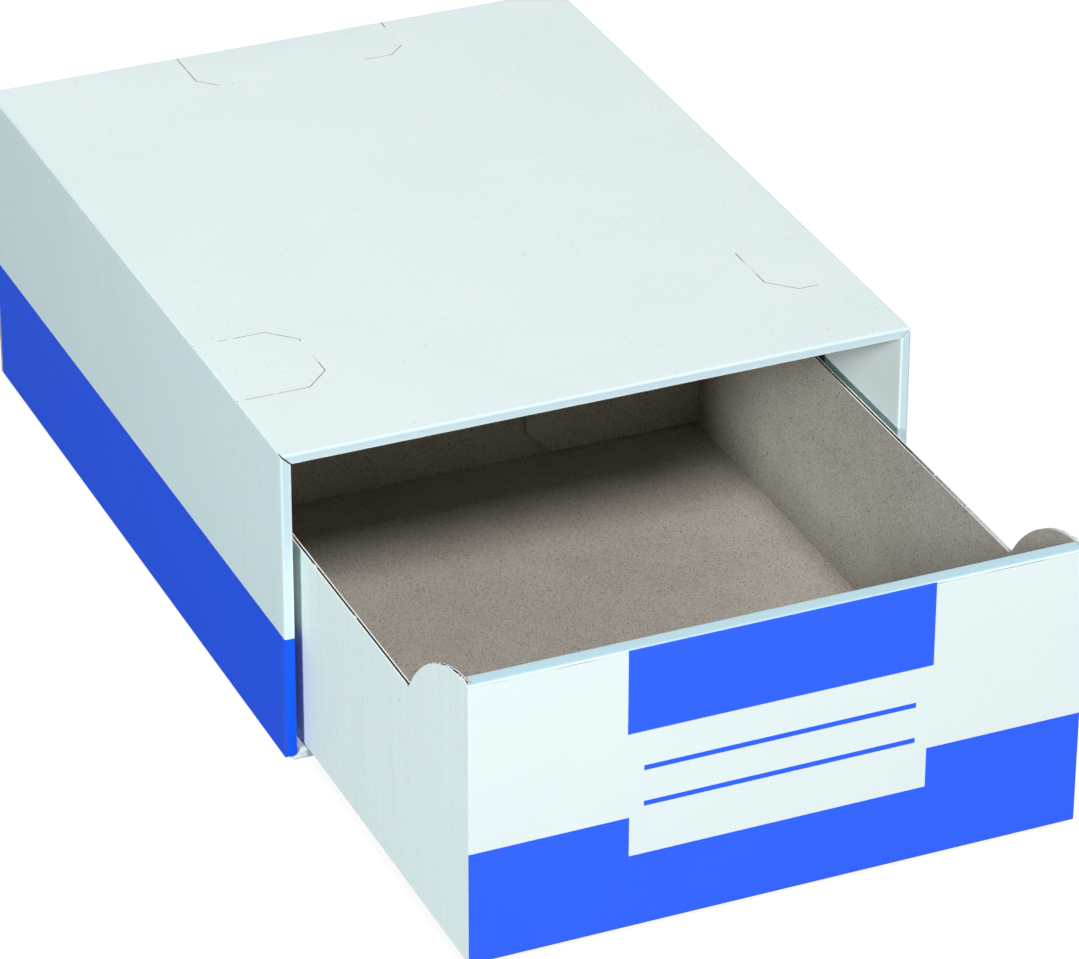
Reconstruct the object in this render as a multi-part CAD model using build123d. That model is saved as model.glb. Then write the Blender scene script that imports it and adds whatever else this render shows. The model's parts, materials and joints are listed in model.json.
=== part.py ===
# File box with drawer: a folded board casing, open at the front, and a folded board drawer in it.
# Millimetres. The origin is the centre of the casing's underside, +Z is up, the drawer opens
# towards -Y. The drawer is drawn pulled out part of the way.
import os
from math import sqrt

from build123d import *

# casing
case_w = 266.0         # outside width
case_d = 348.0         # outside depth
case_h = 136.0         # outside height
board = 1.9            # thickness of the board, everywhere
crease_r = 0.9         # outside radius of a crease
hem_t = 4.2            # thickness of the rolled hem round the casing's mouth
hem_depth = 66.5       # how far the hem's inner flap reaches back
hem_taper = 9.0        # how much shorter each end of the flap is at its rear edge
nose_r = 1.1           # rounding of the hem's nose
nose_l = 3.6           # length of the nose, in front of the casing's panels
mitre_gap = 0.7        # open cut between two hems at a corner of the mouth
foot_clip = 3.0        # the side hems stop this far above the floor
back_flap_l = 86.0     # length of the folded-in flaps behind the back panel

# stacking tabs, cut in the casing's top
tab_gap = 0.35         # width of the cut round a tab
hinge_gap = 0.12       # width of the cut along a tab's crease
side_tab_y = 47.4      # start of the side tabs, behind the mouth
side_tab_w = 49.2      # their width, along the side
left_tab_l = 41.0      # reach of the left tab into the top
right_tab_l = 36.7     # reach of the right tab
side_tab_cut = 10.5    # their cut-off corners
back_tab_w = 95.5
back_tab_l = 33.5
back_tab_cut = 8.0
nib_gap = 0.12         # the cut is this narrow at the small bridges left by the die
nib_w = 1.6            # width of a bridge in a tab's flank
wide_nib_w = 13.0      # width of the bridge in its far edge

# drawer
side_gap = 3.8         # between the drawer and the side hems, each side
lift = 0.7             # between the drawer and the bottom hem
head_gap = 6.9         # between the drawer's front and the top hem
tail_gap = 2.0         # behind the drawer when it is shut
pull = 163.4           # how far the drawer is drawn out
side_h = 87.8          # height of its sides
ear_l = 56.5           # length of the ear at the front of each side
front_t = 6.9          # thickness of its front: two panels with flaps between
ear_notch_r = 2.0      # rounding in the notch behind the ear
roll_gap = 0.4         # between the rolled front edge and the sides
front_flap_l = 70.0
rear_flap_l = 80.0
flap_ease = 0.6        # flaps are this much shorter than the room they fold into
flap_cut = 12.0        # cut-off corners of the flaps
lock_w = 30.0          # locking tongues under the inner front panel
lock_at = 70.0         # their distance from the middle
lock_gap = 0.3         # play of a tongue in its slot

front_y = -case_d / 2
back_y = case_d / 2
half_w = case_w / 2
drawer_x = half_w - hem_t - side_gap
drawer_z = hem_t + lift
drawer_h = case_h - hem_t - head_gap - drawer_z
drawer_y = front_y - pull
drawer_l = case_d - 2 * board - tail_gap
drawer_end = drawer_y + drawer_l
lip = drawer_z + drawer_h


def block(x0, x1, y0, y1, z0, z1):
    return Pos((x0 + x1) / 2, (y0 + y1) / 2, (z0 + z1) / 2) * Box(x1 - x0, y1 - y0, z1 - z0)


def flat_x(points, x0, x1):
    """A plate across X, from an outline of (y, z) points."""
    face = make_face(Plane.YZ.offset(x0) * Polyline(*points, close=True))
    return extrude(face, x1 - x0, dir=(1, 0, 0))


def flat_y(points, y0, y1):
    """A plate across Y, from an outline of (x, z) points."""
    face = make_face(Plane.XZ.offset(-y0) * Polyline(*points, close=True))
    return extrude(face, y1 - y0, dir=(0, 1, 0))


def flat_z(points, z0, z1):
    """A plate across Z, from an outline of (x, y) points."""
    face = make_face(Plane.XY.offset(z0) * Polyline(*points, close=True))
    return extrude(face, z1 - z0, dir=(0, 0, 1))


def round_edges(solid, axis, radius, *spots):
    """Rounds the edges that run along an axis and pass through the given points."""
    picked = [e for e in solid.edges().filter_by(axis)
              if any((e.center() - Vector(*s)).length < 0.01 for s in spots)]
    return fillet(picked, radius)


# ---------------------------------------------------------------- casing
# the outside of the casing, with its creases and noses rounded
envelope = (
    extrude(Plane.XZ.offset(-back_y) * Pos(0, case_h / 2) * RectangleRounded(case_w, case_h, crease_r),
            case_d, dir=(0, -1, 0))
    & extrude(Plane.YZ.offset(-half_w) * Pos(0, case_h / 2) * RectangleRounded(case_d, case_h, nose_r),
              case_w, dir=(1, 0, 0))
    & extrude(Plane.XY * Pos(0, nose_r / 2)
              * RectangleRounded(case_w, case_d + nose_r, nose_r), case_h, dir=(0, 0, 1))
)


def ring_outline(side, deep, gap=0.0):
    """The (x, z) outline of one wall of the casing, cut off at 45 degrees at both ends."""
    g = gap / sqrt(2)
    if side in ("left", "right"):
        s = -1 if side == "left" else 1
        return [(s * half_w, g), (s * half_w, case_h - g),
                (s * (half_w - deep), case_h - g - deep), (s * (half_w - deep), g + deep)]
    z, s = (0, 1) if side == "bottom" else (case_h, -1)
    return [(-half_w + g, z), (half_w - g, z),
            (half_w - g - deep, z + s * deep), (-half_w + g + deep, z + s * deep)]


tab_sizes = {
    "left": (left_tab_l, side_tab_w, side_tab_cut),
    "right": (right_tab_l, side_tab_w, side_tab_cut),
    "back": (back_tab_l, back_tab_w, back_tab_cut),
}


def tab_plate(where, points, grow=0):
    """A plate through the casing's top at one of the tabs, grown all round by `grow`.
    Its outline is in (reach from the casing's edge, place along that edge) points."""
    along = front_y + side_tab_y + side_tab_w / 2
    turn = {
        "left": lambda u, v: (u - half_w, along + v),
        "right": lambda u, v: (half_w - u, along + v),
        "back": lambda u, v: (v, back_y - u),
    }[where]
    face = make_face(Polyline(*[turn(u, v) for u, v in points], close=True))
    if grow:
        face = offset(face, grow, kind=Kind.INTERSECTION)
    return extrude(Pos(0, 0, case_h - 2 * board) * face, 3 * board, dir=(0, 0, 1))


def tab_outline(where):
    reach, width, cut = tab_sizes[where]
    w, base = width / 2, 2 * board
    return [(-base, -w), (reach - cut, -w), (reach, cut - w), (reach, w - cut), (reach - cut, w), (-base, w)]


def tab_bridges(where):
    """The small bridges that narrow the cut: one in the far edge and one in each flank."""
    reach, width, cut = tab_sizes[where]
    w, deep = width / 2, tab_gap - nib_gap
    far = wide_nib_w / 2
    bridges = [[(reach - deep, -far), (reach + 1, -far), (reach + 1, far), (reach - deep, far)]]
    a, b = (reach - cut) / 2, (reach - cut) / 2 + nib_w
    for s in (-1, 1):
        bridges.append([(a, s * (w - deep)), (b, s * (w - deep)), (b, s * (w + 1)), (a, s * (w + 1))])
    return [tab_plate(where, points) for points in bridges]


def hem(side):
    """The rolled edge at one side of the mouth: a rounded nose and a flap folded inside."""
    end = front_y + hem_depth
    inner = hem_t - board
    nose = front_y + nose_l
    if side in ("top", "bottom"):
        across = (lambda s: s) if side == "bottom" else (lambda s: case_h - s)
        pts = [(front_y, 0), (front_y, hem_t), (end, hem_t), (end, inner), (front_y + board, inner),
               (front_y + board, board), (nose, board), (nose, 0)]
        body = flat_x([(y, across(s)) for y, s in pts], -half_w, half_w)
        body = round_edges(body, Axis.X, nose_r, (0, front_y, across(hem_t)), (0, front_y, across(0)))
        t = hem_taper
        plan = [(-half_w, front_y), (half_w, front_y), (half_w, front_y + hem_t), (half_w - t, end),
                (t - half_w, end), (-half_w, front_y + hem_t)]
        body = body & flat_z(plan, 0, case_h)
    else:
        s = -1 if side == "left" else 1
        pts = [(half_w, front_y), (half_w - hem_t, front_y), (half_w - hem_t, end),
               (half_w - inner, end), (half_w - inner, front_y + board),
               (half_w - board, front_y + board), (half_w - board, nose), (half_w, nose)]
        body = flat_z([(s * x, y) for x, y in pts], 0, case_h)
        body = round_edges(body, Axis.Z, nose_r, (s * half_w, front_y, case_h / 2),
                           (s * (half_w - hem_t), front_y, case_h / 2))
        t = hem_taper
        plan = [(front_y, foot_clip), (front_y, case_h), (front_y + hem_t, case_h), (end, case_h - t),
                (end, t), (front_y + hem_t, foot_clip)]
        body = body & flat_x(plan, -half_w, half_w)
    return body & flat_y(ring_outline(side, hem_t, mitre_gap), front_y, end) & envelope


parts = {}

nose_y = front_y + nose_l
inside_y = back_y - board
for side in ("left", "right"):
    parts["casing_" + side] = flat_y(ring_outline(side, board), nose_y, inside_y) & envelope
parts["casing_bottom"] = flat_y(ring_outline("bottom", board), nose_y, inside_y) & envelope

# the top and the back panel share a crease, cut off at 45 degrees
top_side = flat_x([(nose_y, case_h), (back_y, case_h), (inside_y, case_h - board),
                   (nose_y, case_h - board)], -half_w, half_w)
top = flat_y(ring_outline("top", board), nose_y, back_y) & top_side & envelope
back = block(-half_w, half_w, inside_y, back_y, 0, case_h)
parts["casing_back"] = (back & envelope) - top_side

for side in ("left", "right", "back"):
    # the crease of a tab is a cut at 45 degrees along the outer edge of the casing
    slope = hinge_gap * sqrt(2)
    window = tab_plate(side, tab_outline(side))
    for bridge in tab_bridges(side):
        window = window - bridge
    tab = tab_plate(side, tab_outline(side), -tab_gap) & envelope
    wedge = [(-half_w + slope, case_h), (half_w - slope, case_h),
             (half_w - slope - board, case_h - board), (-half_w + slope + board, case_h - board)]
    if side == "back":
        tab = tab & flat_x([(0, case_h), (back_y - slope, case_h), (inside_y - slope, case_h - board),
                            (0, case_h - board)], -half_w, half_w)
    else:
        tab = tab & flat_y(wedge, front_y, back_y)
    parts["stack_tab_" + side] = tab
    top = top - window
parts["casing_top"] = top

for side in ("top", "bottom", "left", "right"):
    parts["mouth_hem_" + side] = hem(side)

for side, s in (("left", -1), ("right", 1)):
    a, b = half_w - board, half_w - board - back_flap_l
    low, high = board + flap_ease, case_h - board - flap_ease
    pts = [(a, low), (b + flap_cut, low), (b, low + flap_cut),
           (b, high - flap_cut), (b + flap_cut, high), (a, high)]
    parts["back_flap_" + side] = flat_y([(s * x, z) for x, z in pts], inside_y - board, inside_y)

# ---------------------------------------------------------------- drawer
front_in = drawer_y + board
front_back = drawer_y + front_t
tail_in = drawer_end - board
wall_x = drawer_x - board
floor_z = drawer_z + board

front = block(-drawer_x, drawer_x, drawer_y, front_in, drawer_z, lip)
parts["drawer_front"] = round_edges(front, Axis.X, crease_r, (0, drawer_y, drawer_z),
                                    (0, drawer_y, lip))
tail = block(-drawer_x, drawer_x, tail_in, drawer_end, drawer_z, drawer_z + side_h)
parts["drawer_back"] = round_edges(tail, Axis.X, crease_r, (0, drawer_end, drawer_z))

# each side rises at the front in a quarter-round ear as high as the front
rise = drawer_h - side_h
ear_r = (ear_l ** 2 + rise ** 2) / (2 * rise)
ear_z = lip - ear_r
for side, s in (("left", -1), ("right", 1)):
    low = block(-drawer_x, -wall_x, front_in, tail_in, drawer_z, drawer_z + side_h)
    disc = Plane.YZ.offset(-drawer_x) * Pos(drawer_y, ear_z) * Circle(ear_r)
    disc = extrude(disc, board, dir=(1, 0, 0)) & block(-drawer_x, -wall_x, front_in,
                                                       drawer_y + ear_l, drawer_z, lip)
    wall = low + disc
    wall = round_edges(wall, Axis.X, ear_notch_r, (board / 2 - drawer_x, drawer_y + ear_l,
                                                   drawer_z + side_h))
    middle = (front_in + tail_in) / 2
    wall = round_edges(wall, Axis.Y, crease_r, (-drawer_x, middle, drawer_z))
    parts["drawer_" + side] = wall if side == "left" else mirror(wall, Plane.YZ)

floor = block(-wall_x, wall_x, front_in, tail_in, drawer_z, floor_z)
roll_x = wall_x - roll_gap
inner = block(-roll_x, roll_x, front_back - board, front_back, floor_z, lip - board)
roll = block(-roll_x, roll_x, front_in, front_back, lip - board, lip)
for x in (-lock_at, lock_at):
    w = lock_w / 2
    floor = floor - block(x - w - lock_gap, x + w + lock_gap, front_back - board - lock_gap,
                          front_back + lock_gap, drawer_z - 1, floor_z + 1)
    inner = inner + block(x - w, x + w, front_back - board, front_back, drawer_z, floor_z)
parts["drawer_bottom"] = floor
parts["drawer_front_inner"] = inner
parts["drawer_front_roll"] = round_edges(roll, Axis.X, crease_r, (0, front_back, lip))

for side, s in (("left", -1), ("right", 1)):
    low, high = floor_z + flap_ease, lip - board - flap_ease
    a, b = wall_x, wall_x - front_flap_l
    pts = [(a, low), (b + flap_cut, low), (b, low + flap_cut),
           (b, high - flap_cut), (b + flap_cut, high), (a, high)]
    parts["front_flap_" + side] = flat_y([(s * x, z) for x, z in pts], front_in, front_in + board)
    high = drawer_z + side_h - flap_ease
    b = wall_x - rear_flap_l
    pts = [(a, low), (b + flap_cut, low), (b, low + flap_cut),
           (b, high - flap_cut), (b + flap_cut, high), (a, high)]
    parts["rear_flap_" + side] = flat_y([(s * x, z) for x, z in pts], tail_in - board, tail_in)

os.makedirs("parts", exist_ok=True)
for name, solid in parts.items():
    export_step(solid, "parts/" + name + ".step")
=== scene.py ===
# File box with drawer: the looks of its folded and printed board.
import json
import random
from math import cos, pi, radians, sin, sqrt

import bmesh
import bpy
from mathutils import Matrix, Vector

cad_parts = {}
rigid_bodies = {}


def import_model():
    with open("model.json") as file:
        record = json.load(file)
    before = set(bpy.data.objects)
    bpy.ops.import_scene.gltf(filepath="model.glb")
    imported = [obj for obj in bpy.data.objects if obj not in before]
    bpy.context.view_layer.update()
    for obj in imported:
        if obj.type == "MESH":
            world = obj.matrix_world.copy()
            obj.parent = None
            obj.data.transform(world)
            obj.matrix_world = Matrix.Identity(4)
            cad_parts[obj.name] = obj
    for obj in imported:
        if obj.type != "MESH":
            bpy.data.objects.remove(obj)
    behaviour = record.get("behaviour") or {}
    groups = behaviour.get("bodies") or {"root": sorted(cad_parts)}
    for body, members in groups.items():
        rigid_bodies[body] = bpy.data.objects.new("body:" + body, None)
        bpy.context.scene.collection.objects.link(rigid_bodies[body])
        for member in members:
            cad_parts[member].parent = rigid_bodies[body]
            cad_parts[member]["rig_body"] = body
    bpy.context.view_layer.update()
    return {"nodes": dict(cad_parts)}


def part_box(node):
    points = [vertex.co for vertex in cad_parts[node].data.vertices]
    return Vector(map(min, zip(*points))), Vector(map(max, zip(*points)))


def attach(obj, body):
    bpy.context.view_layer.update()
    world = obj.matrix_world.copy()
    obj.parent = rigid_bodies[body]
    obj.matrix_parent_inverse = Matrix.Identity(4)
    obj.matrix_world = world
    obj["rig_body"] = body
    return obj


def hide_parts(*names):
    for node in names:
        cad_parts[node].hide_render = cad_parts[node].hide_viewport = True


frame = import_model()
nodes = frame["nodes"]
mm = 0.001


# ---- shader maths: sockets that can be added, multiplied and compared
class Tone:
    def __init__(self, tree, socket=None):
        self.tree = tree
        self.socket = socket

    def node(self, kind, settings, sockets, out=0):
        made = self.tree.nodes.new(kind)
        for key, value in settings.items():
            setattr(made, key, value)
        for key, value in sockets.items():
            if isinstance(value, Tone):
                self.tree.links.new(value.socket, made.inputs[key])
            else:
                made.inputs[key].default_value = value
        return Tone(self.tree, made.outputs[out])

    def calc(self, operation, a, b=0.0, clamp=False):
        return self.node("ShaderNodeMath", {"operation": operation, "use_clamp": clamp}, {0: a, 1: b})

    def __add__(self, other):
        return self.calc("ADD", self, other)

    __radd__ = __add__

    def __sub__(self, other):
        return self.calc("SUBTRACT", self, other)

    def __rsub__(self, other):
        return self.calc("SUBTRACT", other, self)

    def __mul__(self, other):
        return self.calc("MULTIPLY", self, other)

    __rmul__ = __mul__

    def size(self):
        return self.calc("ABSOLUTE", self)

    def sine(self, length):
        return self.calc("SINE", self * (2 * pi / length))

    def above(self, edge, soft):  # 0 below the edge, 1 above it, with a soft step
        return self.calc("MULTIPLY", self - edge, 1 / soft, clamp=True)

    def below(self, edge, soft):
        return 1 - self.above(edge, soft)

    def noise(self, scale, detail=2.0, rough=0.5, stretch=(1, 1, 1)):
        where = self.node("ShaderNodeMapping", {}, {"Vector": self, "Scale": stretch})
        return self.node("ShaderNodeTexNoise", {}, {"Vector": where, "Scale": scale, "Detail": detail,
                                                    "Roughness": rough}, "Fac")

    def mix(self, a, b):  # this tone is the factor, between two colours
        return self.node("ShaderNodeMix", {"data_type": "RGBA"}, {0: self, 6: a, 7: b}, 2)

    def axes(self):
        parts = self.tree.nodes.new("ShaderNodeSeparateXYZ")
        self.tree.links.new(self.socket, parts.inputs[0])
        return [Tone(self.tree, out) for out in parts.outputs]


def startMaterial(name):
    made = bpy.data.materials.new(name)
    made.use_nodes = True
    tree = made.node_tree
    return made, tree, tree.nodes["Principled BSDF"], Tone(tree).node("ShaderNodeTexCoord", {}, {}, "Object")


def plug(tree, tone, shader, name):
    tree.links.new(tone.socket, shader.inputs[name])


def raiseBy(tree, shader, height):  # height in millimetres
    bump = Tone(tree).node("ShaderNodeBump", {}, {"Strength": 1.0, "Distance": mm, "Height": height})
    plug(tree, bump, shader, "Normal")


def tinted(colour, tint):
    return tuple(a * b for a, b in zip(colour, tint)) + (1,)


def darker(colour, share):
    return tinted(colour, (share, share, share))


print("materials")

# ---- the printed white liner
liner = {
    "white": (0.805, 0.89, 0.885, 1),
    "shade": (0.76, 0.858, 0.855, 1),
    "ink": (0.036, 0.134, 0.97, 1),
    "inkDeep": (0.03, 0.12, 0.91, 1),
    "speckColour": (0.43, 0.5, 0.49, 1),
    "pitch": 3.4 * mm,        # fluting that shows faintly through the liner
    "washboard": {"x": 0.004, "z": 0.009},   # how deep it shows, in millimetres
    "unevenness": 0.3,        # slow hollows and rises of a panel, in millimetres
    "bleed": 0.12 * mm,       # softness of a printed edge
    "roughness": 0.52,
    "cloud": 15, "fibre": 800, "grain": 2600, "hollows": 21,   # noise scales, to the metre
    "speck": 1250, "stray": 480, "streak": 420, "foldPatches": 240, "gaps": 60,
}
# the casing's band is the same print as the front's; its ink is a deeper copy, painted shade for the casing's
# dimmer, cooler light
casingPrintAndShade = {"bandTop": 55.3 * mm, "ink": (0.009, 0.096, 0.87, 1), "inkDeep": (0.006, 0.085, 0.81, 1)}
frontPrint = {
    "bandTop": 53.1 * mm,
    "fieldX": 62.0 * mm, "fieldLow": 89.0 * mm,
    "windowX": 60.7 * mm, "windowMiddle": -0.4 * mm, "windowLow": 36.2 * mm,
    "lineX": 55.3 * mm, "lines": (73.3 * mm, 57.9 * mm), "lineHigh": 2.05 * mm,
}
# painted shade along the casing's outer folds
foldShade = {"x": 132.0 * mm, "z": 135.0 * mm, "soft": 0.9 * mm, "colour": (0.62, 0.7, 0.71, 1)}
noseShadeColour = (0.55, 0.71, 0.79, 1)
# painted shade along the crease at the top of the drawer's front
creaseShadeLine = {"z": 124.0 * mm, "half": 0.13 * mm, "soft": 0.12 * mm, "colour": (0.4, 0.46, 0.49, 1)}


def makeLiner(name, flutes, specks=0.16, printMask=None, inks=None, tint=(1, 1, 1), gloss=0.12, extra=()):
    made, tree, shader, where = startMaterial(name)
    x, y, z = where.axes()
    upright = flutes == "z"
    cloud = where.noise(liner["cloud"], 3)
    fibre = where.noise(liner["fibre"], 3, 0.7, (1, 1, 0.3) if upright else (0.3, 1, 1))
    grain = where.noise(liner["grain"], 2, 0.6)
    mottle = (0.5 * cloud + 0.3 * fibre + 0.2 * grain).above(0.33, 0.34)
    colour = mottle.mix(tinted(liner["shade"], tint), tinted(liner["white"], tint))
    if specks:
        speck = where.noise(liner["speck"], 1, 0.4).above(0.65, 0.06)
        stray = where.noise(liner["stray"], 2, 0.5).above(0.7, 0.03)
        colour = (speck * specks + stray * (1.8 * specks)).mix(colour, liner["speckColour"])
    if upright:  # faint streaks along the fluting
        streak = where.noise(liner["streak"], 2, 0.55, (1, 1, 0.035)).above(0.35, 0.4)
        colour = (0.14 * streak).mix(colour, darker(liner["shade"], 0.82))
    if "shadedFolds" in extra:  # painted shade: darker, in patches, along the folded edges, dimming the light that the rounded creases catch
        edge = x.size().above(foldShade["x"], foldShade["soft"]) * z.above(foldShade["z"], foldShade["soft"])
        foldShadeShare = edge * (0.6 + 0.4 * where.noise(liner["foldPatches"], 3, 0.6).above(0.42, 0.12))
        colour = foldShadeShare.mix(colour, foldShade["colour"])
    if "nose" in extra:  # painted shade: darker and cooler over the front of each fold, its rounded outer edge included
        pressed = where.node("ShaderNodeAttribute", {"attribute_name": "pressed"}, {}, "Fac")
        colour = (pressed * (0.75 + 0.25 * fibre)).mix(colour, noseShadeColour)
    if "creaseShadeLine" in extra:  # painted shade: a broken dark line in the crease below the fold of the front
        line = (z - creaseShadeLine["z"]).size().below(creaseShadeLine["half"], creaseShadeLine["soft"])
        broken = 0.3 + where.noise(liner["gaps"], 2).above(0.42, 0.2)
        colour = (line * broken).mix(colour, creaseShadeLine["colour"])
    rough = liner["roughness"] + 0.16 * (fibre - 0.5) + 0.06 * cloud
    if printMask:
        ink = printMask(x, y, z + (grain - 0.5) * liner["bleed"])
        colour = ink.mix(colour, (0.4 * fibre + 0.6 * cloud).mix(inks["inkDeep"], inks["ink"]))
        rough = rough - 0.07 * ink
    plug(tree, colour, shader, "Base Color")
    plug(tree, rough, shader, "Roughness")
    height = 0.013 * fibre + 0.006 * grain + liner["unevenness"] * where.noise(liner["hollows"], 2)
    if flutes in liner["washboard"]:
        across = y if flutes == "x" else x + y
        height = height + liner["washboard"][flutes] * across.sine(liner["pitch"]) * (0.35 + cloud)
    raiseBy(tree, shader, height)
    shader.inputs["Specular IOR Level"].default_value = gloss
    return made


def casingMask(x, y, z):
    return z.below(casingPrintAndShade["bandTop"], liner["bleed"])


def frontMask(x, y, z):
    p = frontPrint
    soft = liner["bleed"]
    window = (x - p["windowMiddle"]).size().below(p["windowX"], soft) * z.above(p["windowLow"], soft)
    mask = z.below(p["bandTop"], soft) * (1 - window)
    mask = mask + x.size().below(p["fieldX"], soft) * z.above(p["fieldLow"], soft)
    for middle in p["lines"]:
        mask = mask + (z - middle).size().below(p["lineHigh"] / 2, soft) * x.size().below(p["lineX"], soft)
    return mask


# ---- the unbleached inside of the board
raw = {
    "light": (0.51, 0.47, 0.41, 1),
    "dark": (0.36, 0.325, 0.28, 1),
    "fleck": (0.13, 0.115, 0.1, 1),
    "straw": (0.64, 0.61, 0.54, 1),
}
rawScale = {"cloud": 40, "fibre": 900, "fine": 2400, "hollows": 24}   # noise scales, to the metre
rawFlecks = (   # of each kind of fleck: its colour, noise scale, threshold, softness and strength
    ("fleck", 1700, 0.58, 0.06, 0.5),
    ("fleck", 1150, 0.66, 0.03, 0.8),
    ("straw", 1300, 0.62, 0.05, 0.5),
)


def makeRaw(name, tone=1.0):
    made, tree, shader, where = startMaterial(name)
    shade = {key: darker(value, tone) for key, value in raw.items()}
    cloud = where.noise(rawScale["cloud"], 4, 0.6)
    fibre = where.noise(rawScale["fibre"], 3, 0.75)
    fine = where.noise(rawScale["fine"], 2, 0.6)
    tint = (0.3 * cloud + 0.4 * fibre + 0.3 * fine).above(0.34, 0.32)
    colour = tint.mix(shade["dark"], shade["light"])
    for kind, scale, edge, soft, strength in rawFlecks:
        colour = (strength * where.noise(scale, 1, 0.5).above(edge, soft)).mix(colour, shade[kind])
    plug(tree, colour, shader, "Base Color")
    plug(tree, 0.76 + 0.18 * fibre, shader, "Roughness")
    raiseBy(tree, shader, 0.03 * fibre + 0.02 * fine + 0.25 * where.noise(rawScale["hollows"], 2))
    shader.inputs["Specular IOR Level"].default_value = 0.2
    return made


# ---- cut edges: two liners with the wave of the fluting between them, and painted shade in the hollows
cut = {
    "outer": (0.88, 0.95, 0.945, 1),
    "inner": (0.93, 0.92, 0.89, 1),
    "linerShare": 0.29,
    "waveShare": 0.08,
    "soft": 0.05,
    "fuzz": 1500, "chewed": 300,   # noise scales, to the metre
}


def makeEdge(name, hollow, wave, outer=cut["outer"], inner=cut["inner"]):
    made, tree, shader, where = startMaterial(name)
    through = where.node("ShaderNodeAttribute", {"attribute_name": "through"}, {}, "Fac")
    x, y, z = where.axes()
    fuzz = where.noise(cut["fuzz"], 3, 0.7)
    chewed = where.noise(cut["chewed"], 2)
    depth = through + 0.12 * (fuzz - 0.5)
    middle = 0.5 + 0.2 * (x + y + z + 0.4 * mm * chewed).sine(liner["pitch"])
    core = (depth - middle).size().below(cut["waveShare"], cut["soft"])
    colour = core.mix(hollow, wave)
    crushed = chewed.above(0.58, 0.06)  # here and there the die has pressed the edge shut
    colour = (0.6 * crushed).mix(colour, wave)
    colour = depth.below(cut["linerShare"], cut["soft"]).mix(colour, outer)
    colour = depth.above(1 - cut["linerShare"], cut["soft"]).mix(colour, inner)
    plug(tree, colour, shader, "Base Color")
    plug(tree, 0.8 + 0.15 * fuzz, shader, "Roughness")
    raiseBy(tree, shader, 0.06 * fuzz + 0.1 * core)
    shader.inputs["Specular IOR Level"].default_value = 0.15
    return made


whiteAcross = makeLiner("white_liner_flutes_x", "x")
whiteTop = makeLiner("white_liner_casing_top", "x", extra=("shadedFolds",))
# painted light: the upright panels are a brighter, greener copy of the white liner
litUpright = makeLiner("white_liner_flutes_z", "z", 0.22, tint=(1.06, 1.08, 1.07))
# painted shade: the rolled top of the drawer's front is a darker, bluer copy of the white liner
shadedRoll = makeLiner("white_liner_rolled_painted_shade", "none", 0.3, tint=(0.66, 0.82, 0.92))
# painted shade: the casing's sides are tinted with less red, for the cool light on them
coolShadedCasingInk = makeLiner("white_liner_blue_band", "z", 0.22, casingMask, casingPrintAndShade,
                      tint=(0.92, 0.985, 1.0), gloss=0.02, extra=("shadedFolds",))
hemInk = makeLiner("white_liner_blue_hem", "none", 0.16, casingMask, casingPrintAndShade, gloss=0.05, extra=("nose",))
hemWhite = makeLiner("white_liner_hem", "none", extra=("nose",))
backInk = makeLiner("white_liner_blue_back", "x", 0.22, casingMask, casingPrintAndShade)
frontInk = makeLiner("white_liner_front_print", "none", 0.03, frontMask, liner, extra=("creaseShadeLine",))
tornPaper = makeLiner("torn_paper", "none", 0.0, tint=(1.06, 1.05, 1.05))
rawLiner = makeRaw("unbleached_liner")
# painted shade: the modelled fluting and the walls of its pockets are near black, for the darkness deep in the
# flutes
shadedCore = makeRaw("fluted_core_painted_shade", 0.2)
# painted shade: the hollows between the waves of this cut edge are near black
cutEdge = makeEdge("cut_edge", (0.03, 0.027, 0.024, 1), (0.2, 0.18, 0.15, 1))
paleEdge = makeEdge("cut_edge_pressed", (0.5, 0.55, 0.55, 1), (0.74, 0.78, 0.77, 1))
# painted shade: the cuts round the tabs and in the casing's top are dark in liners and hollows alike, as the
# shadow in a narrow slit
slitShadeEdge = makeEdge("cut_edge_slit_painted_shade", (0.04, 0.036, 0.03, 1), (0.26, 0.23, 0.19, 1), (0.2, 0.2, 0.19, 1),
                    (0.42, 0.38, 0.33, 1))

# ---- board with open fluting at its cut edges
print("fluted board")
board = {
    "thick": 1.9 * mm,
    "liner": 0.55 * mm,   # with the part of the core that the die has crushed against it
    "core": 0.16 * mm,
    "pitch": 3.4 * mm,
    "steps": 8,           # faces in one wave
    "open": 9 * mm,       # how far the fluting is modelled in from a cut edge
    "skin": 0.3 * mm,     # a face deeper than this in the board is a wall of a pocket
    "weld": 0.002 * mm,
}
slit = {"closed": 0.115 * mm, "near": 0.02 * mm}   # how far a tab grows over the cut along its crease


class Graph:  # a Geometry Nodes tree in the making
    def __init__(self, name, inputs):
        self.tree = bpy.data.node_groups.new(name, "GeometryNodeTree")
        for label, kind in inputs:
            self.tree.interface.new_socket(label, in_out="INPUT", socket_type="NodeSocket" + kind)
        self.tree.interface.new_socket("Result", in_out="OUTPUT", socket_type="NodeSocketGeometry")
        self.given = self.tree.nodes.new("NodeGroupInput").outputs
        self.end = self.tree.nodes.new("NodeGroupOutput")

    def add(self, kind, sockets, out=0, **settings):
        made = self.tree.nodes.new(kind)
        for key, value in settings.items():
            setattr(made, key, value)
        for key, value in sockets.items():
            for one in value if isinstance(value, list) else [value]:
                if isinstance(one, bpy.types.NodeSocket):
                    self.tree.links.new(one, made.inputs[key])
                else:
                    made.inputs[key].default_value = one
        return made.outputs[out]

    def maths(self, operation, a, b=0.0):
        return self.add("ShaderNodeMath", {0: a, 1: b}, operation=operation)

    def finish(self, geometry):
        self.tree.links.new(geometry, self.end.inputs[0])
        return self.tree


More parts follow.
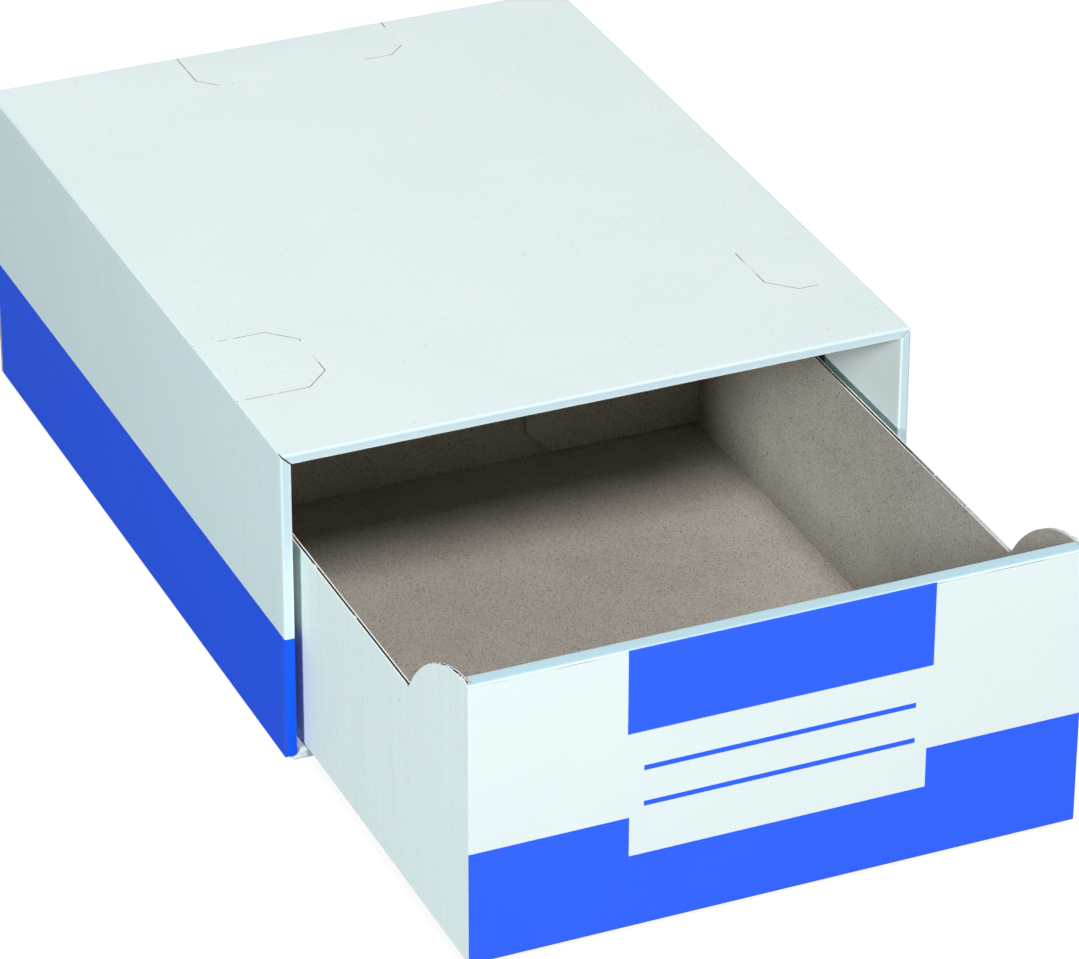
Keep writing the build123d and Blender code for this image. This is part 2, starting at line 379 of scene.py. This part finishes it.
def applyGraph(piece, tree, values):  # the modifier's result becomes the piece's plain mesh
    modifier = piece.modifiers.new("graph", "NODES")
    modifier.node_group = tree
    for item in tree.interface.items_tree:
        if item.item_type == "SOCKET" and item.in_out == "INPUT" and item.name in values:
            modifier[item.identifier] = values[item.name]
    bpy.context.view_layer.update()
    shaped = piece.evaluated_get(bpy.context.evaluated_depsgraph_get())
    mesh = bpy.data.meshes.new_from_object(shaped)
    piece.modifiers.remove(modifier)
    piece.data = mesh


def fluteGraph():
    g = Graph("open_fluting", [
        ("Plate", "Geometry"), ("Pockets", "Object"), ("Thickness", "Float"), ("Liner", "Float"),
        ("Core", "Float"), ("Pitch", "Float"), ("Steps", "Int"), ("Length", "Float"), ("Width", "Float"),
        ("Place", "Vector"), ("Turn", "Rotation"), ("Core material", "Material")])
    given = g.given
    waves = g.maths("CEIL", g.maths("DIVIDE", given["Length"], given["Pitch"]))
    columns = g.maths("ADD", g.maths("MULTIPLY", waves, given["Steps"]), 1.0)
    sheet = g.add("GeometryNodeMeshGrid", {
        "Size X": g.maths("MULTIPLY", waves, given["Pitch"]), "Size Y": given["Width"],
        "Vertices X": columns, "Vertices Y": 2})
    along = g.add("ShaderNodeSeparateXYZ", {0: g.add("GeometryNodeInputPosition", {})}, "X")
    room = g.maths("SUBTRACT", given["Thickness"], g.maths("MULTIPLY", given["Liner"], 2.0))
    rise = g.maths("MULTIPLY", g.maths("SUBTRACT", room, given["Core"]), 0.495)
    turn = g.maths("DIVIDE", g.maths("MULTIPLY", along, 2 * pi), given["Pitch"])
    low = g.maths("MULTIPLY", g.maths("SUBTRACT", given["Thickness"], given["Core"]), 0.5)
    wave = g.maths("MULTIPLY", g.maths("SINE", turn), rise)
    lift = g.add("ShaderNodeCombineXYZ", {"Z": g.maths("ADD", wave, low)})
    bent = g.add("GeometryNodeSetPosition", {"Geometry": sheet, "Offset": lift})
    upper = g.add("GeometryNodeExtrudeMesh", {"Mesh": bent, "Offset": (0, 0, 1),
                                              "Offset Scale": given["Core"], "Individual": False})
    under = g.add("GeometryNodeFlipFaces", {"Mesh": bent})
    both = g.add("GeometryNodeJoinGeometry", {"Geometry": [under, upper]})
    solid = g.add("GeometryNodeMergeByDistance", {"Geometry": both, "Distance": 0.000001})
    laid = g.add("GeometryNodeTransform", {"Geometry": solid, "Translation": given["Place"],
                                           "Rotation": given["Turn"]})
    boxes = g.add("GeometryNodeObjectInfo", {"Object": given["Pockets"]}, "Geometry")
    pockets = g.add("GeometryNodeMeshBoolean", {"Mesh 2": [boxes], "Self Intersection": True},
                    operation="UNION", solver="EXACT")
    core = g.add("GeometryNodeMeshBoolean", {"Mesh 2": [laid, pockets]}, operation="INTERSECT", solver="EXACT")
    core = g.add("GeometryNodeMeshBoolean", {"Mesh 2": [core, given["Plate"]]}, operation="INTERSECT",
                 solver="EXACT")
    core = g.add("GeometryNodeSetMaterial", {"Geometry": core, "Material": given["Core material"]})
    shell = g.add("GeometryNodeMeshBoolean", {"Mesh 1": given["Plate"], "Mesh 2": pockets},
                  operation="DIFFERENCE", solver="EXACT")
    joined = g.add("GeometryNodeJoinGeometry", {"Geometry": [core, shell]})
    return g.finish(g.add("GeometryNodeRealizeInstances", {"Geometry": joined}))


fluting = fluteGraph()
axisOf = {"x": Vector((1, 0, 0)), "y": Vector((0, 1, 0)), "z": Vector((0, 0, 1))}


def signedAxis(name):  # "-x" or "+x"
    return axisOf[name[1]] * (-1 if name[0] == "-" else 1)


def newPiece(name, work):
    mesh = bpy.data.meshes.new(name)
    work.to_mesh(mesh)
    work.free()
    made = bpy.data.objects.new(name, mesh)
    bpy.context.scene.collection.objects.link(made)
    return made


def cleanCopy(node, shift=None):
    work = bmesh.new()
    work.from_mesh(nodes[node].data)
    bmesh.ops.remove_doubles(work, verts=work.verts, dist=board["weld"])
    if shift:
        normal = Vector(shift).normalized()
        far = max(v.co.dot(normal) for v in work.verts)
        for v in work.verts:
            if far - v.co.dot(normal) < slit["near"]:
                v.co += normal * slit["closed"]
    bmesh.ops.dissolve_limit(work, angle_limit=radians(0.2), verts=work.verts, edges=work.edges)
    piece = newPiece(node + "_board", work)
    piece.data.materials.clear()
    return piece


def addBox(work, low, high):
    size = [b - a for a, b in zip(low, high)]
    middle = [(a + b) / 2 for a, b in zip(low, high)]
    bmesh.ops.create_cube(work, size=1, matrix=Matrix.Translation(middle) @ Matrix.Diagonal((*size, 1)))


def makePockets(spec, low, high, thin, a, b):
    work = bmesh.new()
    spots = []
    for count, side in enumerate(spec.get("cut", ())):  # straight cut edges at the sides of the plate's box
        over = mm * (1 + 0.3 * count)                   # no two pockets end in one plane
        lowCorner, highCorner = [v - over for v in low], [v + over for v in high]
        k = "xyz".index(side[1])
        if side[0] == "+":
            lowCorner[k] = high[k] - board["open"]
        else:
            highCorner[k] = low[k] + board["open"]
        spots.append((lowCorner, highCorner))
    for lowCorner, highCorner in spec.get("pockets", ()):
        spots.append(([v * mm for v in lowCorner], [v * mm for v in highCorner]))
    for lowCorner, highCorner in spots:
        lowCorner[thin], highCorner[thin] = min(a, b), max(a, b)
        addBox(work, lowCorner, highCorner)
    return newPiece("pockets", work)


def makeBoard(spec):
    node = spec["node"]
    piece = cleanCopy(node, spec.get("shift"))
    low, high = (list(v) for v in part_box(node))
    out = signedAxis(spec["out"])
    thin = max(range(3), key=lambda k: abs(out[k]))
    plane = (high if out[thin] > 0 else low)[thin]
    inward = -out[thin]
    if spec.get("cut") or spec.get("pockets"):
        pockets = makePockets(spec, low, high, thin, plane + inward * board["liner"],
                              plane + inward * (board["thick"] - board["liner"]))
        ridge = axisOf[spec["flute"]]
        along = ridge.cross(-out)
        centre = [(a + b) / 2 for a, b in zip(low, high)]
        centre[thin] = plane
        size = [b - a for a, b in zip(low, high)]
        k = max(range(3), key=lambda n: abs(along[n]))
        applyGraph(piece, fluting, {
            "Pockets": pockets, "Thickness": board["thick"], "Liner": board["liner"], "Core": board["core"],
            "Pitch": board["pitch"], "Steps": board["steps"], "Length": size[k] + 2 * board["pitch"],
            "Width": size["xyz".index(spec["flute"])] + 4 * mm, "Place": centre,
            "Turn": Matrix((along, ridge, -out)).transposed().to_euler(), "Core material": shadedCore})
        bpy.data.objects.remove(pockets)
    paintFaces(piece, spec, out, thin, plane)
    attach(piece, nodes[node]["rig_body"])
    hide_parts(node)


def paintFaces(piece, spec, out, thin, plane):
    mesh = piece.data
    old = list(mesh.materials)
    isCore = {p.index for p in mesh.polygons
              if old and old[min(p.material_index, len(old) - 1)] == shadedCore}
    mesh.materials.clear()
    for material in (spec["outer"], rawLiner, spec.get("edge", cutEdge), shadedCore):
        mesh.materials.append(material)
    outer, inner, edge, core = range(4)
    wrapped = []
    for side, material in spec.get("wrapped", ()):  # edges that the printed liner is folded round
        wrapped.append((signedAxis(side), len(mesh.materials)))
        mesh.materials.append(material)
    for p in mesh.polygons:
        lean = p.normal.dot(out)
        depth = abs(p.center[thin] - plane)
        inside = board["skin"] < depth < board["thick"] - board["skin"]
        if p.index in isCore or (abs(lean) > 0.98 and inside):
            p.material_index = core
        elif any(p.normal.dot(side) > 0.6 for side, _ in wrapped):
            p.material_index = max((p.normal.dot(side), slot) for side, slot in wrapped)[1]
        elif lean > 0.05:
            p.material_index = outer
        elif lean < -0.98:
            p.material_index = inner
        else:
            p.material_index = edge
        p.use_smooth = True
    through = mesh.attributes.new("through", "FLOAT", "POINT")
    for v, value in zip(mesh.vertices, through.data):
        value.value = abs(v.co[thin] - plane) / board["thick"]
    mesh.set_sharp_from_angle(angle=radians(32))


boards = [
    {"node": "casing_top", "out": "+z", "outer": whiteTop, "edge": slitShadeEdge},
    {"node": "casing_left", "out": "-x", "outer": coolShadedCasingInk, "wrapped": (("-y", coolShadedCasingInk),)},
    {"node": "casing_right", "out": "+x", "outer": coolShadedCasingInk, "wrapped": (("-y", coolShadedCasingInk),)},
    {"node": "casing_bottom", "out": "-z", "outer": whiteAcross},
    {"node": "casing_back", "out": "+y", "flute": "x", "outer": backInk, "cut": ("-x", "+x", "-z")},
    {"node": "back_flap_left", "out": "+y", "flute": "z", "outer": litUpright, "cut": ("+x",)},
    {"node": "back_flap_right", "out": "+y", "flute": "z", "outer": litUpright, "cut": ("-x",)},
    {"node": "drawer_left", "out": "-x", "flute": "z", "outer": litUpright,
     "pockets": (([-200, -334, 84], [0, 200, 140]),)},   # two corners of a box, in millimetres
    {"node": "drawer_right", "out": "+x", "flute": "z", "outer": litUpright, "edge": paleEdge,
     "pockets": (([0, -196, 84], [200, 200, 140]),)},
    {"node": "drawer_back", "out": "+y", "flute": "x", "outer": whiteAcross, "cut": ("+z",)},
    {"node": "drawer_front", "out": "-y", "outer": frontInk, "edge": paleEdge,
     "wrapped": (("+z", shadedRoll), ("-x", litUpright), ("+x", litUpright))},
    {"node": "drawer_front_inner", "out": "+y", "outer": whiteAcross, "edge": paleEdge},
    {"node": "drawer_front_roll", "out": "+z", "outer": shadedRoll, "edge": paleEdge,
     "wrapped": (("+y", shadedRoll),)},
    {"node": "drawer_bottom", "out": "-z", "outer": whiteAcross},
    {"node": "front_flap_left", "out": "-y", "outer": litUpright},
    {"node": "front_flap_right", "out": "-y", "outer": litUpright},
    {"node": "rear_flap_left", "out": "+y", "flute": "z", "outer": litUpright, "cut": ("+x", "+z")},
    {"node": "rear_flap_right", "out": "+y", "flute": "z", "outer": litUpright, "cut": ("-x", "+z")},
    {"node": "stack_tab_left", "out": "+z", "flute": "x", "outer": whiteTop, "edge": slitShadeEdge,
     "cut": ("+x",), "shift": (-1, 0, -1)},
    {"node": "stack_tab_right", "out": "+z", "flute": "x", "outer": whiteTop, "edge": slitShadeEdge,
     "cut": ("-x",), "shift": (1, 0, -1)},
    {"node": "stack_tab_back", "out": "+z", "flute": "x", "outer": whiteTop, "edge": slitShadeEdge,
     "cut": ("-y",), "shift": (0, 1, -1)},
]
for spec in boards:
    makeBoard(spec)

# ---- rolled hems round the mouth, each a strip folded back on itself
print("hems")
hem = {
    "thick": 4.2 * mm, "depth": 66.5 * mm, "taper": 9.0 * mm, "nose": 3.6 * mm,
    "rounding": 0.8 * mm, "inRounding": 0.6 * mm,
    "mitre": 0.5 * mm, "openMitre": 1.9 * mm,   # how far each end stands back from the diagonal of its corner
    "flat": (1.2 * mm, 2.1 * mm, 3.1 * mm),     # where the front of the fold is pressed flat
    "flatBack": 0.03 * mm, "arcFaces": 4,
    "noseStops": (3.6 * mm, 3.2 * mm, 2.7 * mm, 2.0 * mm),
    "flapStops": (2.5, 4.2, 9, 18, 30, 44, 57, 66.5),   # millimetres back from the front
    "pressed": (0.2 * mm, 3.2 * mm),            # the part of the front that gets the painted shade, darker and cooler
    "footLow": 0.26 * mm, "footClip": 2.3 * mm, "footRound": 0.5 * mm, "footCurve": 1.3,
    "crease": 0.9 * mm,                         # rounding of the casing's own creases
    "wave": 0.11 * mm,                          # unevenness of the folded nose
    "knots": 44, "knotStep": 7 * mm, "seed": 7,
    "rows": 64, "near": (0, 0.25 * mm, 0.5 * mm, 0.8 * mm),   # along the hem, and close to each end
    "width": 266 * mm, "height": 136 * mm, "front": -174 * mm,
}


def hemSection():  # pairs of (back from the front, in from the outside): printed face, raw face
    t, b, r, s = hem["thick"], board["thick"], hem["rounding"], hem["inRounding"]
    arc = [pi / 2 * k / hem["arcFaces"] for k in range(hem["arcFaces"] + 1)]
    pairs = [((u, 0), (u, b)) for u in hem["noseStops"]]
    for a in arc:
        pairs.append(((r - r * sin(a), r - r * cos(a)), (b, b)))
    for w in hem["flat"]:
        pairs.append(((hem["flatBack"], w), (b, t / 2 + 0.1 * (w - t / 2))))
    for a in arc:
        pairs.append(((s - s * cos(a), t - s + s * sin(a)), (b, t - b)))
    for u in hem["flapStops"]:
        pairs.append(((u * mm, t), (max(u * mm, b), t - b)))
    return pairs


def makeHem(side):
    t, depth = hem["thick"], hem["depth"]
    level = side in ("top", "bottom")
    span = hem["width"] if level else hem["height"]
    dice = random.Random(hem["seed"] + len(side) * 5)
    knots = [dice.uniform(-1, 1) for _ in range(hem["knots"])]

    def place(u, w, s):
        k = int(s / hem["knotStep"]) + 1
        f = s / hem["knotStep"] + 1 - k
        f = f * f * (3 - 2 * f)
        bend = (knots[k] * (1 - f) + knots[k + 1] * f) * hem["wave"]
        end, drop = min(s, span - s), 0.0
        if end < hem["crease"]:  # stays inside the casing's rounded creases
            drop = hem["crease"] - sqrt(hem["crease"] ** 2 - (hem["crease"] - end) ** 2)
        if u < hem["nose"] - 0.5 * mm:
            u = max(u, drop) + max(bend, 0)
        w = max(w, drop)
        along = s - span / 2 if level else s
        y = hem["front"] + u
        if side == "top":
            return Vector((along, y, hem["height"] - w))
        if side == "bottom":
            return Vector((along, y, w))
        x = hem["width"] / 2 - w
        return Vector((-x if side == "left" else x, y, along))

    def ends(u, w, outer):
        slope = max(0.0, min(1.0, (u - t) / (depth - t)))
        back = w + hem["openMitre" if side == "bottom" else "mitre"]
        first = last = max(back, hem["taper"] * slope)
        if not level:  # the side hems stop short of the floor, with a rounded foot
            clip = hem["footClip"] + (hem["taper"] - hem["footClip"]) * slope
            if outer[1] < t / 2:
                off = max(0.0, 1 - outer[0] / hem["nose"])
                first = hem["footLow"] + (clip - hem["footLow"]) * off ** hem["footCurve"]
            else:
                off = min(1.0, outer[1] / (t / 2) - 1)
                first = clip + hem["footRound"] * (1 - sqrt(1 - off * off)) + t * slope
        return first, last

    near = hem["near"]
    work = bmesh.new()
    depthLayer = work.verts.layers.float.new("through")
    noseShadeLayer = work.verts.layers.float.new("pressed")
    table = []
    for pair in hemSection():
        rows = []
        # the "pressed" attribute marks where the fold's front gets painted shade
        start, stop = hem["pressed"]
        pressed = float(start < pair[0][1] < stop and pair[0][0] < hem["rounding"])
        for which, (u, w) in enumerate(pair):
            first, last = ends(u, w, pair[0])
            a, b = first + near[-1], span - last - near[-1]
            stops = [first + n for n in near[:-1]]
            stops += [a + (b - a) * k / hem["rows"] for k in range(hem["rows"] + 1)]
            stops += [span - last - n for n in reversed(near[:-1])]
            column = []
            for s in stops:
                v = work.verts.new(place(u, w, s))
                v[depthLayer] = which
                v[noseShadeLayer] = pressed
                column.append(v)
            rows.append(column)
        table.append(rows)
    rowCount = len(table[0][0])

    def face(corners, material):
        made = work.faces.new(corners)
        made.material_index = material
        made.smooth = True

    printed, unbleached, edge = range(3)
    for (o1, i1), (o2, i2) in zip(table, table[1:]):
        for k in range(rowCount - 1):
            face((o1[k], o1[k + 1], o2[k + 1], o2[k]), printed)
            face((i1[k], i2[k], i2[k + 1], i1[k + 1]), unbleached)
        face((o1[0], o2[0], i2[0], i1[0]), edge)
        face((o1[-1], i1[-1], i2[-1], o2[-1]), edge)
    for (o, i), flip in ((table[0], False), (table[-1], True)):
        for k in range(rowCount - 1):
            corners = (o[k], i[k], i[k + 1], o[k + 1])
            face(corners[::-1] if flip else corners, edge)
    bmesh.ops.remove_doubles(work, verts=work.verts, dist=0.001 * mm)
    bmesh.ops.recalc_face_normals(work, faces=work.faces)
    piece = newPiece("hem_" + side, work)
    finish = {"top": hemWhite, "bottom": whiteAcross}.get(side, hemInk)
    # on the top and side hems the dark cut edge also paints shade into the gaps of the mitres
    for material in (finish, rawLiner, paleEdge if side == "bottom" else cutEdge):
        piece.data.materials.append(material)
    piece.data.set_sharp_from_angle(angle=radians(40))
    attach(piece, "casing")
    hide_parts("mouth_hem_" + side)


for side in ("top", "bottom", "left", "right"):
    makeHem(side)

# ---- stretches of the tabs' outlines that the die has not cut through
print("uncut nibs and torn nicks")
tabs = {
    "gap": 0.35 * mm,     # width of the cut round a tab
    "lap": 0.05 * mm,     # how far a nib reaches over the tab itself
    "paper": 0.3 * mm, "sink": 0.015 * mm,
    "edge": 1.0 * mm,     # the flanks stop this far from the rounded outer edge
    "alongSide": -102.0 * mm,
    "left": {"reach": 41.0, "width": 49.2, "corner": 10.5},
    "right": {"reach": 36.7, "width": 49.2, "corner": 10.5},
    "back": {"reach": 33.5, "width": 95.5, "corner": 8.0},
    # the shares left uncut of each edge of the outline, in its order
    "uncut": {
        "left": [[(0.0, 0.12)], [], [(0.47, 0.93)], [], [(0.44, 0.52), (0.64, 1.0)]],
        "right": [[(0.0, 0.68)], [], [(0.43, 0.58)], [(0.0, 0.96)], [(0.0, 1.0)]],
        "back": [[], [], [(0.0, 0.07), (0.08, 0.84)], [], [(0.0, 0.76)]],
    },
}


def tabLine(side):
    t = tabs[side]
    reach, half, corner = t["reach"] * mm, t["width"] * mm / 2, t["corner"] * mm
    flat = [(0, -half), (reach - corner, -half), (reach, corner - half), (reach, half - corner),
            (reach - corner, half), (0, half)]
    y, edgeX, edgeY = tabs["alongSide"], hem["width"] / 2, -hem["front"]
    turn = {"left": lambda u, v: (u - edgeX, y + v), "right": lambda u, v: (edgeX - u, y + v),
            "back": lambda u, v: (v, edgeY - u)}[side]
    points = [Vector(turn(u, v)) for u, v in flat]
    return points, sum(points, Vector((0, 0))) / len(points)


def makeNibs(side):
    points, middle = tabLine(side)
    work = bmesh.new()
    top = hem["height"] - tabs["sink"]
    for k, shares in enumerate(tabs["uncut"][side]):
        a, b = points[k], points[k + 1]
        along = (b - a).normalized()
        across = Vector((-along.y, along.x))
        if across.dot(middle - a) < 0:
            across = -across
        for start, stop in shares:
            p, q = a.lerp(b, start), a.lerp(b, stop)
            if k == 0 and start == 0.0:
                p = p + along * tabs["edge"]
            if k == 4 and stop == 1.0:
                q = q - along * tabs["edge"]
            inner = across * (tabs["gap"] + tabs["lap"])
            corners = [p, q, q + inner, p + inner]
            low = [work.verts.new((c.x, c.y, top - tabs["paper"])) for c in corners]
            high = [work.verts.new((c.x, c.y, top)) for c in corners]
            work.faces.new(low)
            work.faces.new(high)
            for n in range(4):
                m = (n + 1) % 4
                work.faces.new((low[n], low[m], high[m], high[n]))
    bmesh.ops.recalc_face_normals(work, faces=work.faces)
    piece = newPiece("uncut_nibs_" + side, work)
    piece.data.materials.append(whiteAcross)
    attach(piece, side + "_tab")


for side in ("left", "right", "back"):
    makeNibs(side)

# ---- torn white nicks along the die-cut edges of the drawer's sides
nicks = {
    "amount": 1500.0,       # to the metre, where they crowd
    "smallest": 0.2 * mm, "largest": 0.55 * mm,
    "clumps": 240.0, "sparse": {"ear": 0.47, "shelf": 0.66},
    "inward": 0.8 * mm, "sink": 0.1 * mm, "short": 2 * mm,
    "seed": 11, "seedStep": 5,
    "shelf": 92.7, "front": -337.4, "ear": 56.5, "steps": 24,
}


def nickGraph():
    g = Graph("torn_nicks", [
        ("Path", "Geometry"), ("Per metre", "Float"), ("Smallest", "Float"), ("Largest", "Float"),
        ("Clumping", "Float"), ("Sparseness", "Float"), ("Seed", "Int"), ("Paper", "Material")])
    given = g.given
    curve = g.add("GeometryNodeMeshToCurve", {"Mesh": given["Path"]})
    count = g.maths("MULTIPLY", g.add("GeometryNodeCurveLength", {"Curve": curve}), given["Per metre"])
    points = g.add("GeometryNodeCurveToPoints", {"Curve": curve, "Count": count}, mode="COUNT")
    cloud = g.add("ShaderNodeTexNoise", {"Scale": given["Clumping"], "Detail": 1.0})
    bare = g.add("FunctionNodeCompare", {0: cloud, 1: given["Sparseness"]}, operation="LESS_THAN")
    kept = g.add("GeometryNodeDeleteGeometry", {"Geometry": points, "Selection": bare})
    chip = g.add("GeometryNodeMeshIcoSphere", {"Radius": 1.0, "Subdivisions": 1})
    size = g.add("FunctionNodeRandomValue", {2: given["Smallest"], 3: given["Largest"], "Seed": given["Seed"]},
                 1, data_type="FLOAT")
    turn = g.add("FunctionNodeRandomValue", {0: (-pi, -pi, -pi), 1: (pi, pi, pi), "Seed": given["Seed"]}, 0,
                 data_type="FLOAT_VECTOR")
    chips = g.add("GeometryNodeInstanceOnPoints", {"Points": kept, "Instance": chip, "Rotation": turn,
                                                   "Scale": size})
    flat = g.add("GeometryNodeScaleInstances", {"Instances": chips, "Scale": (1.0, 0.7, 0.35)})
    real = g.add("GeometryNodeRealizeInstances", {"Geometry": flat})
    return g.finish(g.add("GeometryNodeSetMaterial", {"Geometry": real, "Material": given["Paper"]}))


nickTree = nickGraph()


def makeNicks(node, side, seed):
    low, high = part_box(node)
    x = low[0] + nicks["inward"] if side < 0 else high[0] - nicks["inward"]
    shelf, front, ear = nicks["shelf"] * mm, nicks["front"] * mm, nicks["ear"] * mm
    rise = high[2] - shelf
    radius = (ear ** 2 + rise ** 2) / (2 * rise)
    points = []
    for k in range(nicks["steps"] + 1):  # over the ear, then along the side to the rear
        y = low[1] + (front + ear - low[1]) * k / nicks["steps"]
        points.append((x, y, high[2] - radius + sqrt(radius ** 2 - (y - front) ** 2) - nicks["sink"]))
    rear = (x, high[1] - nicks["short"], shelf - nicks["sink"])
    for part, path in (("ear", points), ("shelf", [points[-1], rear])):
        work = bmesh.new()
        verts = [work.verts.new(p) for p in path]
        for a, b in zip(verts, verts[1:]):
            work.edges.new((a, b))
        piece = newPiece("nicks_" + node + "_" + part, work)
        applyGraph(piece, nickTree, {
            "Per metre": nicks["amount"], "Smallest": nicks["smallest"], "Largest": nicks["largest"],
            "Clumping": nicks["clumps"], "Sparseness": nicks["sparse"][part], "Seed": seed, "Paper": tornPaper})
        piece.data.materials.clear()
        piece.data.materials.append(tornPaper)
        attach(piece, "drawer")


makeNicks("drawer_left", -1, nicks["seed"])
makeNicks("drawer_right", 1, nicks["seed"] + nicks["seedStep"])

# ---- floor, light and camera
print("stage")
stage = {
    "floor": (0.13, 0.13, 0.13, 1),
    "floorHalf": 6, "floorLow": 0.2 * mm,
    "lift": 0.91,                  # the floor's own glow for the camera, up to the white of the background
    "dim": (0.035, 0.04, 0.042, 1), "bright": (0.3, 0.32, 0.33, 1),   # the room, in front and behind
    "keyPower": 2.75, "keyFrom": (0.0, -0.79, 0.775), "keyAngle": 12,
    "fillPower": 62.5, "fillPlace": (-2.55, -1.5, 0.95), "fillSize": 0.5, "fillColour": (0.92, 0.98, 1.0),
    "aim": (0, -0.1, 0.07),
}


def seenDirectly(tree):  # by the camera, in a reflection or through glass
    path = tree.nodes.new("ShaderNodeLightPath")
    seen = Tone(tree, path.outputs["Is Camera Ray"])
    for name in ("Is Glossy Ray", "Is Transmission Ray"):
        seen = seen.calc("MAXIMUM", seen, Tone(tree, path.outputs[name]))
    return seen


def makeFloor():
    work = bmesh.new()
    bmesh.ops.create_grid(work, x_segments=8, y_segments=8, size=stage["floorHalf"])
    for v in work.verts:
        v.co.z = -stage["floorLow"]
    made = newPiece("floor", work)
    paint, tree, shader, where = startMaterial("pale_floor")
    cloud = where.noise(3, 2)
    plug(tree, cloud.mix(stage["floor"], darker(stage["floor"], 0.985)), shader, "Base Color")
    shader.inputs["Roughness"].default_value = 0.8
    shader.inputs["Specular IOR Level"].default_value = 0.1
    dark = where.node("ShaderNodeEmission", {}, {"Strength": 0.0})
    glow = where.node("ShaderNodeEmission", {}, {"Strength": stage["lift"]})
    extra = where.node("ShaderNodeMixShader", {}, {0: seenDirectly(tree), 1: dark, 2: glow})
    both = where.node("ShaderNodeAddShader", {}, {0: Tone(tree, shader.outputs[0]), 1: extra})
    tree.links.new(both.socket, tree.nodes["Material Output"].inputs["Surface"])
    made.data.materials.append(paint)


def makeWorld():
    world = bpy.data.worlds.new("studio")
    bpy.context.scene.world = world
    world.use_nodes = True
    tree = world.node_tree
    x, y = Tone(tree).node("ShaderNodeTexCoord", {}, {}, "Generated").axes()[:2]
    room = (0.5 + 0.45 * x + 0.3 * y).above(0, 1).mix(stage["dim"], stage["bright"])
    plug(tree, seenDirectly(tree).mix(room, (1, 1, 1, 1)), tree.nodes["Background"], "Color")


def makeLamp(name, kind, power, place):
    lamp = bpy.data.lights.new(name, kind)
    lamp.energy = power
    made = bpy.data.objects.new(name, lamp)
    made.location = place
    made.rotation_euler = (Vector(stage["aim"]) - made.location).to_track_quat("-Z", "Y").to_euler()
    bpy.context.scene.collection.objects.link(made)
    return lamp


makeFloor()
makeWorld()
makeLamp("key", "SUN", stage["keyPower"], stage["keyFrom"]).angle = radians(stage["keyAngle"])
fill = makeLamp("fill", "AREA", stage["fillPower"], stage["fillPlace"])
fill.size, fill.color = stage["fillSize"], stage["fillColour"]

camera = {"place": (-0.77971, -1.91237, 1.1722), "turn": (60.5563, -0.1348, -23.3502),
          "lens": 187.567, "sensor": 36, "clip": (0.05, 50)}
lens = bpy.data.cameras.new("camera")
lens.lens, lens.sensor_width = camera["lens"], camera["sensor"]
lens.clip_start, lens.clip_end = camera["clip"]
eye = bpy.data.objects.new("camera", lens)
eye.location = camera["place"]
eye.rotation_euler = [radians(v) for v in camera["turn"]]
bpy.context.scene.collection.objects.link(eye)
bpy.context.scene.camera = eye
bpy.context.scene.view_settings.view_transform = "Standard"

print("done")
